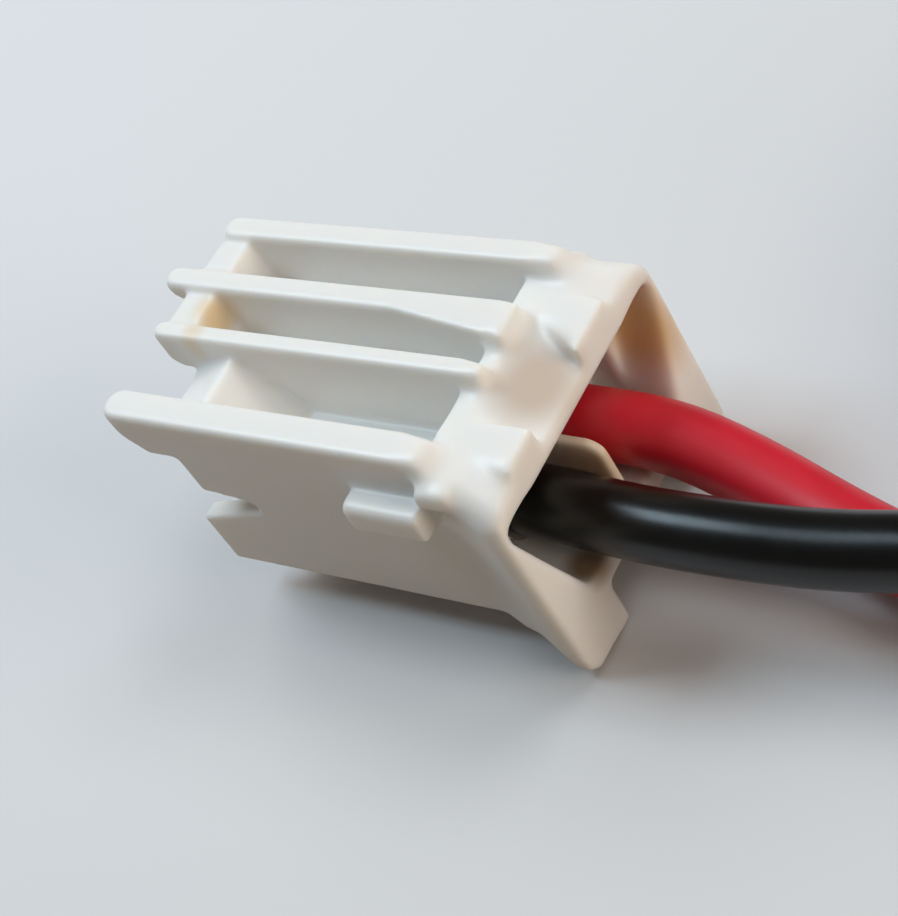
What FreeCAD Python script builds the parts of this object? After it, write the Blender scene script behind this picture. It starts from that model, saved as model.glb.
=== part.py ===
import FreeCAD, Part
import math
import os
from FreeCAD import Placement, Rotation, Vector

# Two-way crimp housing of a wire harness, with its crimped contacts and two
# short leads. Millimetres. X runs along the housing: the fingers of the mating
# end point to -X and the leads leave towards +X. +Z is the ridged side, and
# Z = 0 is the surface that the two feet at the rear stand on.

doc = FreeCAD.newDocument("HarnessConnector")

# Driving sizes

SIZES = [
    ("pitch", 2.5, "between the two contacts"),
    ("total_length", 13.4, "longest finger to the rear face"),
    ("front_length", 12.5, "front edge of the upper plate to the rear face"),
    ("body_length", 11.65, "front of the box to the rear face"),
    ("body_width", 7.0, "over the two outer ridges"),
    ("body_height", 6.1, "flat side to the ridge tops"),
    ("foot_drop", 1.4, "feet below the flat side"),
    ("side_wall", 0.6, "thin side walls of the mouth"),
    ("floor_wall", 0.8, "wall of the flat side"),
    ("floor_setback", 0.65, "front of the flat wall behind the box front"),
    ("far_ridge_width", 0.75, "outer ridge on the +Y side"),
    ("near_ridge_width", 0.95, "outer ridge on the -Y side"),
    ("far_rib_width", 0.7, "inner rib on the +Y side"),
    ("far_rib_place", 1.25, "middle of that rib"),
    ("near_rib_width", 0.55, "inner rib on the -Y side"),
    ("near_rib_place", -0.52, "middle of that rib"),
    ("near_finger_reach", 12.6, "tip of the outer finger to the rear face"),
    ("far_finger_depth", 0.9, "height of the rib's finger"),
    ("plate_depth", 1.3, "height of the upper front plate"),
    ("near_finger_depth", 1.5, "height of the outer finger"),
    ("rib_bulge", 0.12, "near rib past the upper front plate"),
    ("channel_depth", 2.4, "deepest channel below the ridge tops"),
    ("middle_channel_depth", 1.9, "channel between the ribs"),
    ("far_channel_depth", 1.7, "channel beside the far ridge"),
    ("plate_step", 0.2, "front plate below the ridge tops"),
    ("plate_length", 1.1, "front plate along X"),
    ("plate_root_length", 0.25, "wall under the rear edge of the front plate"),
    ("plate_tip_height", 0.75, "height of the front plate's edge, part of the plate"),
    ("plate_bevel", 0.5, "bevel under the front plate"),
    ("sill_front_depth", 1.26, "sill of the near channel at its front"),
    ("sill_back_depth", 0.5, "the same sill at its crest"),
    ("sill_length", 1.75, "sill from the box front to its crest"),
    ("sill_slope_length", 1.6, "slope behind the crest"),
    ("ramp_width", 0.52, "widening of the far rib towards the rear"),
    ("ramp_start", 7.5, "start of that widening to the rear face"),
    ("channel_end", 1.75, "rear end of the channels to the rear face"),
    ("far_ridge_end", 1.5, "rear end of the far ridge to the rear face"),
    ("near_ridge_end", 2.1, "rear end of the near ridge to the rear face"),
    ("mouth_back", 9.05, "back wall of the mouth to the rear face"),
    ("mouth_depth", 2.65, "roof of the mouth below the ridge tops"),
    ("cheek_length", 0.9, "open side under the outer finger, from the box front"),
    ("slot_top", 2.75, "side slot below the ridge tops at the front"),
    ("slot_bottom", 4.3, "lower edge of that slot at the front"),
    ("slot_end_top", 3.05, "upper edge at the closed end"),
    ("slot_end_bottom", 3.55, "lower edge at the closed end"),
    ("prong_bevel", 0.9, "bevel under the finger tips"),
    ("tip_height", 0.35, "height of a finger at its tip, part of its full height"),
    ("pin_wall", 0.65, "wall with the two pin holes"),
    ("pin_hole", 1.1, "diameter of a pin hole"),
    ("cavity_width", 2.2, "room for one contact"),
    ("cavity_height", 2.5, "room for one contact"),
    ("cavity_end", 2.7, "rear end of the contact cavities to the rear face"),
    ("window_length", 1.6, "lance window in the flat wall"),
    ("window_width", 1.1, "lance window in the flat wall"),
    ("window_place", 6.4, "front edge of the window to the rear face"),
    ("hood_width", 8.4, "over the flared rear hood"),
    ("hood_length", 2.5, "front of the hood to the rear face"),
    ("hood_knee", 1.2, "steeper part of the flare to the rear face"),
    ("hood_lip", 0.35, "straight part of the hood"),
    ("knee_width", 7.8, "width at the knee"),
    ("knee_drop", 0.3, "underside at the knee below the flat side"),
    ("hood_step", 0.55, "top of the hood below the ridge tops"),
    ("hood_round", 0.85, "bevel of the upper corners of the hood"),
    ("foot_round", 0.35, "bevel of the outer lower corners of the feet"),
    ("opening_run", 0.1, "fall of the opening's floor towards the rear"),
    ("opening_depth", 1.7, "upper edge of the rear opening"),
    ("opening_top_width", 7.8, "rear opening at its upper edge"),
    ("opening_low_width", 5.3, "rear opening at its floor"),
    ("bell_length", 1.5, "rear opening before the rear face, at its floor"),
    ("opening_throat", 5.9, "width where the contact cavities begin"),
    ("foot_width", 2.1, "each foot along the rear edge"),
    ("shoulder_side", 3.95, "near shoulder of the hood, from the middle"),
    ("shoulder_front", 2.3, "its front to the rear face"),
    ("shoulder_height", 0.6, "its height"),
    ("shoulder_round", 0.25, "rounding of its outer top edge"),
    ("far_slope_side", 2.35, "near side of the slope behind the far ridge"),
    ("near_slope_side", -2.6, "far side of the slope at the near corner, front"),
    ("near_slope_side_back", -3.05, "the same at the rear face"),
    ("near_slope_start", 1.3, "start of that slope to the rear face"),
    ("corner_slope_depth", 1.0, "both slopes at the rear face, below the ridge tops"),
    ("ridge_slope", 0.45, "slanted rear end of an outer ridge"),
    ("scoop_front_depth", 0.65, "scoop in the top of the hood, front"),
    ("scoop_back_depth", 1.3, "the same at the rear face"),
    ("scoop_far", 1.65, "far side of the scoop at its front"),
    ("scoop_far_back", 0.6, "far side at the rear face"),
    ("scoop_near", -1.6, "near side of the scoop"),
    ("partition_width", 0.3, "low wall between the two leads"),
    ("partition_depth", 3.2, "its upper edge below the ridge tops"),
    ("top_round", 0.5, "rounding of its upper rear corner"),
    ("partition_inset", 0.15, "its rear edge before the rear face"),
    ("block_length", 2.3, "side block along X"),
    ("block_end", 2.35, "rear end of the side block to the rear face"),
    ("block_depth", 1.25, "its upper face below the ridge tops"),
    ("block_height", 0.9, "its height"),
    ("block_reach", 0.75, "how far it stands out of the side wall"),
    ("block_round", 0.25, "rounding of its outer top edge"),
    ("edge_round", 0.15, "rounding of ridge edges"),
    ("lead_diameter", 1.85, "over the insulation"),
    ("lead_height", 3.3, "middle of a lead at the housing, above Z = 0"),
    ("sheet_metal", 0.15, "thickness of the contact strip"),
    ("box_width", 1.9, "contact box"),
    ("box_height", 1.85, "contact box"),
    ("box_length", 3.0, "contact box"),
    ("box_gap", 0.1, "contact box behind the pin wall"),
    ("neck_length", 0.5, "strip between box, core crimp and jacket crimp"),
    ("core_crimp_length", 1.1, "crimp on the bare strands"),
    ("core_diameter", 0.95, "bundle of bare strands"),
    ("jacket_crimp_length", 1.0, "crimp on the insulation"),
    ("strand_reach", 0.25, "strands past the core crimp"),
    ("lance_drop", 0.4, "lance below the contact box"),
    ("lance_width", 0.7, "lance"),
    ("lance_length", 1.1, "lance"),
    ("spring_gap", 0.55, "gap for the pin inside the box"),
    ("tie_width", 2.2, "strap of the tie"),
    ("tie_thickness", 0.3, "strap of the tie"),
    ("tie_head", 2.6, "length of the tie's head"),
    ("tie_head_height", 1.6, "height of the tie's head"),
    ("turn_outer", 11.2, "radius of the outer turn of a put-away lead"),
    ("turn_pitch", 1.9, "from one turn to the next"),
    ("turn_count", 1.9, "turns of each lead"),
    ("layer_gap", 0.05, "between the lower and the upper lead"),
    ("tip_length", 2.4, "tinned end of a lead"),
    ("tip_diameter", 1.0, "tinned end of a lead"),
    ("tie_angle", 25, "place of the tie on the coils, from +X"),
]

sheet = doc.addObject("Spreadsheet::Sheet", "Sizes")
for row, (alias, value, note) in enumerate(SIZES, start=1):
    sheet.set(f"A{row}", alias)
    sheet.set(f"B{row}", str(value))
    sheet.set(f"C{row}", note)
    sheet.setAlias(f"B{row}", alias)
doc.recompute()


def size(alias):
    """A driving size as a number, read from the sheet."""
    return float(sheet.get(alias))


def ex(text):
    """An expression: every alias in it points at the sheet."""
    words = []
    for word in text.replace("(", " ( ").replace(")", " ) ").split():
        known = any(word == alias for alias, value, note in SIZES)
        words.append("Sizes." + word if known else word)
    return " ".join(words)


def before_rear(distance):
    """X of a place that lies this far in front of the rear face."""
    return f"total_length / 2 - ( {distance} )"


def below_top(depth):
    """Z of a place that lies this deep below the ridge tops."""
    return f"foot_drop + body_height - ( {depth} )"


def bind(thing, links):
    """Bind the properties of a thing to expressions of the sheet."""
    for name, text in links.items():
        thing.setExpression(name, ex(text))
    return thing


def block(name, x, y, z):
    """A box between two planes each way."""
    return bind(doc.addObject("Part::Box", name), {
        "Length": f"( {x[1]} ) - ( {x[0]} )",
        "Width": f"( {y[1]} ) - ( {y[0]} )",
        "Height": f"( {z[1]} ) - ( {z[0]} )",
        "Placement.Base.x": x[0],
        "Placement.Base.y": y[0],
        "Placement.Base.z": z[0],
    })


def taper(name, x, front, rear):
    """A solid between two upright rectangles (y, y, z, z), along X."""
    thing = doc.addObject("Part::Wedge", name)
    thing.Placement = Placement(Vector(), Rotation(Vector(0, 0, 1), -90))
    return bind(thing, {
        "Ymin": x[0],
        "Ymax": x[1],
        "Xmin": f"0 - ( {front[1]} )",
        "Xmax": f"0 - ( {front[0]} )",
        "Zmin": front[2],
        "Zmax": front[3],
        "X2min": f"0 - ( {rear[1]} )",
        "X2max": f"0 - ( {rear[0]} )",
        "Z2min": rear[2],
        "Z2max": rear[3],
    })


def upright(name, z, low, high):
    """A solid between two level rectangles (x, x, y, y), along Z."""
    thing = doc.addObject("Part::Wedge", name)
    thing.Placement = Placement(Vector(), Rotation(Vector(1, 0, 0), 90))
    return bind(thing, {
        "Ymin": z[0],
        "Ymax": z[1],
        "Xmin": low[0],
        "Xmax": low[1],
        "Zmin": f"0 - ( {low[3]} )",
        "Zmax": f"0 - ( {low[2]} )",
        "X2min": high[0],
        "X2max": high[1],
        "Z2min": f"0 - ( {high[3]} )",
        "Z2max": f"0 - ( {high[2]} )",
    })


def rod(name, direction, start, radius, length):
    """A cylinder from a start point along +X, +Y or +Z."""
    turns = {"x": Rotation(Vector(0, 1, 0), 90), "y": Rotation(Vector(1, 0, 0), -90)}
    thing = doc.addObject("Part::Cylinder", name)
    thing.Placement = Placement(Vector(), turns.get(direction, Rotation()))
    return bind(thing, {
        "Radius": radius,
        "Height": length,
        "Placement.Base.x": start[0],
        "Placement.Base.y": start[1],
        "Placement.Base.z": start[2],
    })


def join(name, pieces):
    """One solid from several that touch or overlap."""
    thing = doc.addObject("Part::MultiFuse", name)
    thing.Shapes = pieces
    thing.Refine = True
    return thing


def cut(name, base, tools):
    """The base without the tools."""
    thing = doc.addObject("Part::Cut", name)
    thing.Base = base
    thing.Tool = tools[0] if len(tools) == 1 else join(name + "_tools", tools)
    thing.Refine = True
    return thing


def rounded(name, base, edges):
    """The base with some of its edges rounded: (edge number, radius)."""
    doc.recompute()
    thing = doc.addObject("Part::Fillet", name)
    thing.Base = base
    thing.Edges = [(edge, radius, radius) for edge, radius in edges]
    return thing


# Edges of a Part::Box: 1 and 3 stand at the low X face, 10 and 12 run along
# its upper sides, 2 and 6 cross its upper ends.
LOW_X_CORNERS = (1, 3)
UPPER_SIDES = (10, 12)
UPPER_BACK = 6
UPPER_FRONT = 2

# How far a cutting shape passes the face it opens, and a joined shape sinks in
PAST = 0.1
SINK = 0.02

half_body = "body_width / 2"
half_hood = "hood_width / 2"
floor_top = "foot_drop + floor_wall"
box_front = before_rear("body_length")
rear = before_rear("0")
core_top = below_top("channel_depth")

# Housing: the box under the channels

core = block("core", (box_front, before_rear("hood_lip")),
             (f"0 - {half_body}", half_body), ("foot_drop", core_top))

# Housing: outer ridges and ribs, each with its finger. A finger's tip is
# rounded to nearly half of its width.

TIP_SHARE = 0.46


def ridge(name, width, low, tip, depth, end, front):
    """A ridge: a rounded upper bar that may pass the front, and its root."""
    high = f"{low} + {width}"
    bar = block(name + "_bar", (before_rear(tip), before_rear(end)), (low, high),
                (below_top(depth), below_top("0")))
    tip_round = TIP_SHARE * size(width)
    edges = [(edge, tip_round) for edge in LOW_X_CORNERS]
    edges += [(edge, size("edge_round")) for edge in UPPER_SIDES + (UPPER_FRONT,)]
    root = block(name + "_root", (before_rear(front), before_rear(end)), (low, high),
                 (core_top, below_top("edge_round")))
    return [rounded(name + "_top", bar, edges), root]


def rear_slope(name, width, low, end):
    """The slanted rear end of a ridge, down to the top of the hood."""
    sides = (low, f"{low} + {width}", core_top)
    return taper(name, (before_rear(end), before_rear(f"{end} - ridge_slope")),
                 sides + (below_top("edge_round"),), sides + (below_top("hood_step"),))


far_rib = ("far_rib_place - far_rib_width / 2", "far_rib_place + far_rib_width / 2")
near_rib = ("near_rib_place - near_rib_width / 2", "near_rib_place + near_rib_width / 2")
far_ridge_side = f"{half_body} - far_ridge_width"
near_ridge_side = f"near_ridge_width - {half_body}"

ridges = ridge("far_ridge", "far_ridge_width", far_ridge_side, "front_length",
               "plate_depth", "far_ridge_end", "body_length")
ridges += ridge("far_rib", "far_rib_width", far_rib[0], "total_length",
                "far_finger_depth", "channel_end", "body_length")
ridges += ridge("near_rib", "near_rib_width", near_rib[0], "front_length + rib_bulge",
                "plate_depth", "channel_end", "body_length")
ridges += ridge("near_ridge", "near_ridge_width", f"0 - {half_body}", "near_finger_reach",
                "near_finger_depth", "near_ridge_end", "body_length - cheek_length")
ridges += [
    rear_slope("far_ridge_slope", "far_ridge_width", far_ridge_side, "far_ridge_end"),
    rear_slope("near_ridge_slope", "near_ridge_width", f"0 - {half_body}", "near_ridge_end"),
]

# Housing: floors, front plate and sill between the ridges

plate = block("front_plate",
              (before_rear("front_length"), before_rear("front_length - plate_length")),
              ("near_rib_place", f"{half_body} - far_ridge_width / 2"),
              (below_top("plate_depth"), below_top("plate_step")))
plate_root = block("plate_root",
                   (box_front, before_rear("body_length - plate_root_length")),
                   ("near_rib_place", f"{half_body} - far_ridge_width / 2"),
                   (core_top, below_top("plate_step")))
far_floor = block("far_floor", (box_front, before_rear("channel_end")),
                  (far_rib[0], half_body), (core_top, below_top("far_channel_depth")))
middle_floor = block("middle_floor", (box_front, before_rear("channel_end")),
                     (near_rib[0], far_rib[1]),
                     (core_top, below_top("middle_channel_depth")))
sill_crest = before_rear("body_length - sill_length")
sill_foot = before_rear("body_length - sill_length - sill_slope_length")
sill = taper("sill", (box_front, sill_crest),
             (near_ridge_side, near_rib[0], core_top, below_top("sill_front_depth")),
             (near_ridge_side, near_rib[0], core_top, below_top("sill_back_depth")))
sill_slope = taper("sill_slope", (sill_crest, sill_foot),
                   (near_ridge_side, near_rib[0], core_top, below_top("sill_back_depth")),
                   (near_ridge_side, near_rib[0], core_top, below_top(f"channel_depth - {PAST}")))
ramp = taper("rib_ramp", (before_rear("ramp_start"), before_rear("channel_end")),
             (f"{far_rib[0]} + 2 * edge_round", "far_rib_place", core_top, below_top("0")),
             (f"{far_rib[0]} - ramp_width", "far_rib_place", core_top, below_top("0")))

# Housing: flared rear hood

hood_top = below_top("hood_step")
knee = ("0 - knee_width / 2", "knee_width / 2", "foot_drop - knee_drop", hood_top)
flare = taper("hood_flare", (before_rear("hood_length"), before_rear("hood_knee")),
              (f"0 - {half_body}", half_body, "foot_drop", hood_top), knee)
skirt = taper("hood_skirt", (before_rear("hood_knee"), before_rear("hood_lip")),
              knee, (f"0 - {half_hood}", half_hood, "0", hood_top))
rim = block("hood_rim", (before_rear("hood_lip"), rear),
            (f"0 - {half_hood}", half_hood), ("0", hood_top))
hood = [flare, skirt, rim]


def side_block(name, start, end, sides, top, height, outer_edge, radius):
    """A block that stands out of a side wall, with a round outer top edge."""
    bar = block(name + "_bar", (before_rear(start), before_rear(end)), sides,
                (below_top(f"{top} + {height}"), below_top(top)))
    return rounded(name, bar, [(outer_edge, size(radius))])


near_inside = f"0 - ( {half_body} - side_wall )"
far_inside = f"{half_body} - side_wall"
blocks = [
    side_block("near_block", "block_end + block_length", "block_end",
               (f"0 - ( {half_body} + block_reach )", near_inside),
               "block_depth", "block_height", UPPER_SIDES[0], "block_round"),
    side_block("far_block", "block_end + block_length", "block_end",
               (far_inside, f"{half_body} + block_reach"),
               "block_depth", "block_height", UPPER_SIDES[1], "block_round"),
    side_block("near_shoulder", "shoulder_front", "hood_lip",
               ("0 - shoulder_side", near_inside),
               "hood_step", "shoulder_height", UPPER_SIDES[0], "shoulder_round"),
]

shell = join("housing_shell", [core, plate, plate_root, far_floor, middle_floor, sill, sill_slope,
                               ramp] + hood + ridges + blocks)

# Housing: what is open

half_mouth = f"{half_body} - side_wall"
mouth_front = f"{box_front} - {PAST}"
mouth_sides = (f"0 - ( {half_mouth} )", half_mouth)
under = "foot_drop - knee_drop"
mouth = block("mouth", (mouth_front, before_rear("mouth_back")), mouth_sides,
              (floor_top, below_top("mouth_depth")))
mouth_sill = block("mouth_sill", (mouth_front, before_rear("body_length - floor_setback")),
                   mouth_sides, (under, floor_top))


def side_cuts(name, low, high):
    """A side wall's cheek under the finger, and its slot with a round end."""
    end_height = "( slot_end_bottom - slot_end_top )"
    end_middle = before_rear(f"mouth_back + {end_height} / 2")
    cheek = block(name + "_cheek", (mouth_front, before_rear("body_length - cheek_length")),
                  (low, high),
                  (below_top("( slot_top + slot_bottom ) / 2"), below_top("near_finger_depth")))
    slot = taper(name + "_slot", (mouth_front, end_middle),
                 (low, high, below_top("slot_bottom"), below_top("slot_top")),
                 (low, high, below_top("slot_end_bottom"), below_top("slot_end_top")))
    end = rod(name + "_end", "y",
              (end_middle, low, below_top("( slot_end_top + slot_end_bottom ) / 2")),
              f"{end_height} / 2", f"( {high} ) - ( {low} )")
    return [cheek, slot, end]


openings = [mouth, mouth_sill]
openings += side_cuts("near", f"0 - {half_body} - {PAST}", f"0 - ( {half_mouth} ) + {SINK}")
openings += side_cuts("far", f"{half_mouth} - {SINK}", f"{half_body} + {PAST}")

cavity_front = before_rear("mouth_back - pin_wall")
cavity_top = f"{floor_top} + cavity_height"
box_middle = f"{floor_top} + box_height / 2"
past_rear = f"{rear} + {PAST}"
WAYS = (("red", "pitch / 2"), ("black", "0 - pitch / 2"))
for colour, side in WAYS:
    openings.append(block(
        f"cavity_{colour}", (cavity_front, before_rear(f"cavity_end - {PAST}")),
        (f"{side} - cavity_width / 2", f"{side} + cavity_width / 2"),
        (floor_top, cavity_top)))
    openings.append(rod(
        f"pin_hole_{colour}", "x", (before_rear(f"mouth_back + {PAST}"), side, box_middle),
        "pin_hole / 2", f"pin_wall + 2 * {PAST}"))
    openings.append(block(
        f"window_{colour}",
        (before_rear("window_place"), before_rear("window_place - window_length")),
        (f"{side} - window_width / 2", f"{side} + window_width / 2"),
        (under, f"{floor_top} + {PAST}")))


def corner_cut(name, side, corner, outward, leg, length):
    """A diamond-shaped rod that bevels a long corner of the hood. Half its diagonal is two
    legs of the bevel, and its middle lies half a leg outside the corner both ways."""
    thing = doc.addObject("Part::Box", name)
    thing.Placement = Placement(Vector(), Rotation(Vector(1, 0, 0), 45))
    return bind(thing, {
        "Length": f"{length} + {PAST}",
        "Width": f"8 ^ 0.5 * {leg}",
        "Height": f"8 ^ 0.5 * {leg}",
        "Placement.Base.x": before_rear(length),
        "Placement.Base.y": f"{side} * ( {half_hood} + {leg} / 2 )",
        "Placement.Base.z": f"{corner} + {outward} * {leg} / 2 - 2 * {leg}",
    })


for place, side in (("far", "1"), ("near", "-1")):
    openings.append(corner_cut(f"{place}_hood_corner", side, hood_top, "1", "hood_round",
                               "near_slope_start"))
    openings.append(corner_cut(f"{place}_foot_corner", side, "0", "-1", "foot_round",
                               "hood_length"))

throat = taper("throat", (before_rear("cavity_end"), past_rear),
               ("0 - opening_throat / 2", "opening_throat / 2", floor_top, cavity_top),
               ("0 - opening_low_width / 2", "opening_low_width / 2",
                f"{floor_top} - opening_run", cavity_top))
bell = upright("bell", (f"{floor_top} + {SINK}", below_top("opening_depth")),
               (before_rear("bell_length"), past_rear,
                "0 - opening_low_width / 2", "opening_low_width / 2"),
               (before_rear("hood_knee"), past_rear,
                "0 - opening_top_width / 2", "opening_top_width / 2"))
arch = block("arch", (before_rear("hood_length"), past_rear),
             (f"0 - {half_hood} + foot_width", f"{half_hood} - foot_width"),
             (f"0 - {PAST}", "foot_drop"))
above = below_top(f"0 - {PAST}")
scoop = taper("scoop", (before_rear("channel_end"), past_rear),
              ("scoop_near", "scoop_far", below_top("scoop_front_depth"), above),
              ("scoop_near", "scoop_far_back", below_top("scoop_back_depth"), above))
side_past = f"{half_hood} + {PAST}"
slope_low = below_top("corner_slope_depth")
far_slope = taper("far_slope", (before_rear("far_ridge_end - ridge_slope"), past_rear),
                  ("far_slope_side", side_past, hood_top, above),
                  ("far_slope_side", side_past, slope_low, above))
near_slope = taper("near_slope", (before_rear("near_slope_start"), past_rear),
                   (f"0 - ( {side_past} )", "near_slope_side", hood_top, above),
                   (f"0 - ( {side_past} )", "near_slope_side_back", slope_low, above))
openings += [throat, bell, arch, scoop, far_slope, near_slope]


def bevel(name, low, high, tip, depth, share, length):
    """The slanted underside of a finger, cut away below its tip."""
    under_tip = below_top(f"{depth} + {PAST}")
    return taper(name, (before_rear(f"{tip} + {PAST}"), before_rear(f"{tip} - {length}")),
                 (f"{low} - {PAST}", f"{high} + {PAST}", under_tip,
                  below_top(f"{depth} * {share}")),
                 (f"{low} - {PAST}", f"{high} + {PAST}", under_tip, below_top(depth)))


openings += [
    bevel("far_rib_bevel", far_rib[0], far_rib[1], "total_length", "far_finger_depth",
          "tip_height", "prong_bevel"),
    bevel("plate_bevel", near_rib[0], half_body, "front_length + rib_bulge", "plate_depth",
          "plate_tip_height", "plate_bevel"),
    bevel("near_ridge_bevel", f"0 - {half_body}", near_ridge_side, "near_finger_reach",
          "near_finger_depth", "tip_height", "prong_bevel"),
]

hollow = cut("hollow_housing", shell, openings)

partition = block("partition", (before_rear("cavity_end"), before_rear("partition_inset")),
                  ("0 - partition_width / 2", "partition_width / 2"),
                  (floor_top, below_top("partition_depth")))
partition_round = rounded("partition_round", partition, [(UPPER_BACK, size("top_round"))])
housing = join("housing", [hollow, partition_round])

# Contacts: a folded box with a spring and a lance, a strip, and two crimps

contacts = []
strand_ends = []
for colour, side in WAYS:
    start = before_rear("mouth_back - pin_wall - box_gap")
    back = f"{start} + box_length"
    core_start = f"{back} + neck_length"
    core_end = f"{core_start} + core_crimp_length"
    jacket_start = f"{core_end} + neck_length"
    core_high = f"{floor_top} + sheet_metal + core_diameter / 2"

    box = block(f"box_{colour}", (start, back),
                (f"{side} - box_width / 2", f"{side} + box_width / 2"),
                (floor_top, f"{floor_top} + box_height"))
    room = block(f"box_room_{colour}", (f"{start} - {PAST}", f"{back} + {PAST}"),
                 (f"{side} - box_width / 2 + sheet_metal",
                  f"{side} + box_width / 2 - sheet_metal"),
                 (f"{floor_top} + sheet_metal", f"{floor_top} + box_height - sheet_metal"))
    tube = cut(f"box_tube_{colour}", box, [room])

    ceiling = f"{floor_top} + box_height - sheet_metal"
    touch = f"{floor_top} + sheet_metal + spring_gap"
    leaf = (f"{side} - box_width / 4", f"{side} + box_width / 4")
    spring = taper(f"spring_{colour}", (start, f"{back} - neck_length"),
                   leaf + (f"{ceiling} - {SINK}", f"{ceiling} + {PAST}"),
                   leaf + (touch, f"{touch} + sheet_metal"))

    lance_start = before_rear(f"window_place - {PAST}")
    tongue = (f"{side} - lance_width / 2", f"{side} + lance_width / 2")
    low_end = f"{floor_top} - lance_drop"
    lance = taper(f"lance_{colour}", (lance_start, f"{lance_start} + lance_length"),
                  tongue + (f"{floor_top} - {SINK}", f"{floor_top} + sheet_metal"),
                  tongue + (low_end, f"{low_end} + sheet_metal"))

    strip = block(f"strip_{colour}", (f"{back} - {PAST}", f"{jacket_start} + jacket_crimp_length"),
                  (f"{side} - core_diameter / 2", f"{side} + core_diameter / 2"),
                  (floor_top, f"{floor_top} + sheet_metal"))
    core_crimp = cut(f"core_crimp_{colour}", rod(
        f"core_outer_{colour}", "x", (core_start, side, core_high),
        "core_diameter / 2 + sheet_metal", "core_crimp_length"), [rod(
            f"core_inner_{colour}", "x", (f"{core_start} - {PAST}", side, core_high),
            "core_diameter / 2", f"core_crimp_length + 2 * {PAST}")])
    jacket_crimp = cut(f"jacket_crimp_{colour}", rod(
        f"jacket_outer_{colour}", "x", (jacket_start, side, "lead_height"),
        "lead_diameter / 2 + sheet_metal", "jacket_crimp_length"), [rod(
            f"jacket_inner_{colour}", "x", (f"{jacket_start} - {PAST}", side, "lead_height"),
            "lead_diameter / 2", f"jacket_crimp_length + 2 * {PAST}")])
    contacts.append(join(f"{colour}_contact",
                         [tube, spring, lance, strip, core_crimp, jacket_crimp]))
    strand_ends.append(rod(
        f"{colour}_strands", "x", (f"{core_start} - strand_reach", side, core_high),
        "core_diameter / 2", f"core_crimp_length + strand_reach + neck_length"))

# Leads: round cords along straight runs joined by arcs

doc.recompute()
rear_x = size("total_length") / 2
lead_radius = size("lead_diameter") / 2
lower_z = size("tie_thickness") + lead_radius
upper_z = lower_z + size("lead_diameter") + size("layer_gap")
cavity_x = rear_x - size("mouth_back") + size("pin_wall")
core_x = cavity_x + size("box_gap") + size("box_length") + size("neck_length")
lead_x = core_x + size("core_crimp_length") + size("neck_length")
side_y = size("pitch") / 2
lead_z = size("lead_height")
COIL_RUN_IN = 7.0
COIL_START = 18.7
COIL_SIDE = -0.6
ARC_SHARE = 0.45

ROUTES = {
    "red": [
        (lead_x, side_y, lead_z),
        (5.4, side_y, lead_z),
        (7.5, 1.41, 2.94),
        (9.6, 1.17, 2.12),
        (11.8, 0.6, 1.45),
        (13.9, 0.02, lower_z),
        (15.5, -0.35, lower_z),
        (17.1, COIL_SIDE, lower_z),
        (COIL_START, COIL_SIDE, lower_z),
    ],
    "black": [
        (lead_x, -side_y, lead_z),
        (5.5, -side_y, lead_z),
        (7.5, -1.45, lead_z),
        (10.2, -1.46, lead_z),
        (12.7, -1.23, upper_z),
        (14.9, -0.86, upper_z),
        (16.9, COIL_SIDE, upper_z),
        (COIL_START, COIL_SIDE, upper_z),
    ],
}


def rounded_path(points):
    """Straight runs with a tangent arc at each inner point, and the radii."""
    edges = []
    radii = []
    here = points[0]
    for before, corner, after in zip(points, points[1:], points[2:]):
        inward = (before - corner).normalize()
        outward = (after - corner).normalize()
        half_turn = (math.pi - inward.getAngle(outward)) / 2
        reach = ARC_SHARE * min((corner - before).Length, (after - corner).Length)
        radius = reach / math.tan(half_turn)
        start = corner + inward * reach
        end = corner + outward * reach
        bisector = (inward + outward).normalize()
        middle = corner + bisector * (radius / math.cos(half_turn) - radius)
        edges.append(Part.LineSegment(here, start).toShape())
        edges.append(Part.Arc(start, middle, end).toShape())
        radii.append(radius)
        here = end
    edges.append(Part.LineSegment(here, points[-1]).toShape())
    return Part.Wire(edges), radii


def tube_along(points, radius):
    """A round tube along the rounded path through the points."""
    path, radii = rounded_path(points)
    heading = points[1] - points[0]
    ring = Part.Wire(Part.makeCircle(radius, points[0], heading))
    tube = path.makePipeShell([ring], True, False)
    return tube, path.Length, radii


def own_shape(name, shape):
    """A sub-part whose shape the code has made."""
    thing = doc.addObject("Part::Feature", name)
    thing.Shape = shape
    thing.Placement = Placement()
    return thing


leads = []
for colour, route in ROUTES.items():
    points = [Vector(*place) for place in route]
    tube, length, radii = tube_along(points, lead_radius)
    expected = math.pi * lead_radius ** 2 * length
    print(colour, "lead", round(length, 2), "mm, radii", [round(r, 1) for r in radii],
          "volume", round(tube.Volume, 3), "of", round(expected, 3))
    leads.append(own_shape(f"{colour}_lead", tube))

# Leads: the length that is put away, as two flat coils on each other. A turn
# winds inwards by one step, and the tinned end follows the last turn.

coil_x = COIL_START + COIL_RUN_IN
coil_y = COIL_SIDE + size("turn_outer")
inner_turn = size("turn_outer") - size("turn_pitch") * size("turn_count")
coil_inner = inner_turn - lead_radius
coil_outer = size("turn_outer") + lead_radius
end_turn = Rotation(Vector(0, 0, 1), 360 * size("turn_count") - 90)
COIL_INSET = 0.03
COIL_ROUND = 0.8
TIP_ROOM = 0.6


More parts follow.
